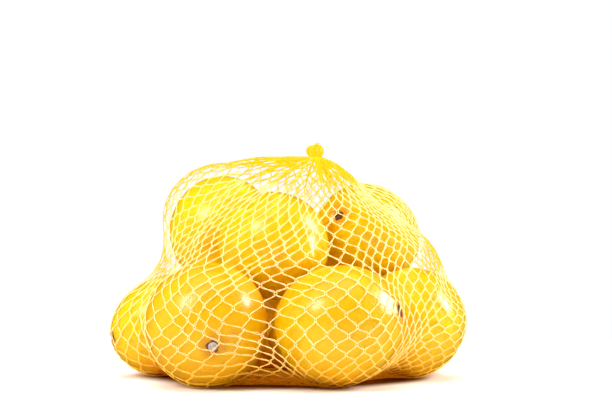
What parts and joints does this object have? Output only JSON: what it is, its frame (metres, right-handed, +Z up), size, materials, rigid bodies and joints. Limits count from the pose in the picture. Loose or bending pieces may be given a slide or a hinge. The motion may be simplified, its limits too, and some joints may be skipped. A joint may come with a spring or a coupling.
{
  "type": "net of lemons",
  "caption": "Lemons packed in a taut knitted net bag, gathered to a small overhand knot on top; stands on its flat underside.",
  "frame": {"origin": "centre of the bounding box at the flat underside, where the bag stands", "axes": "+Z up towards the knot, +Y away from the front, +X to the right as seen from the front"},
  "size_m": [0.1876, 0.1934, 0.1232],
  "materials": {
    "net": "fine yellow knitted polyethylene netting, slightly glossy",
    "rind": "waxed lemon rind, pitted with fine oil glands",
    "stem_button": "dry brown stem button, matt"
  },
  "bodies": {
    "root": {"net_bag": "net"}
  },
  "joints": []
}
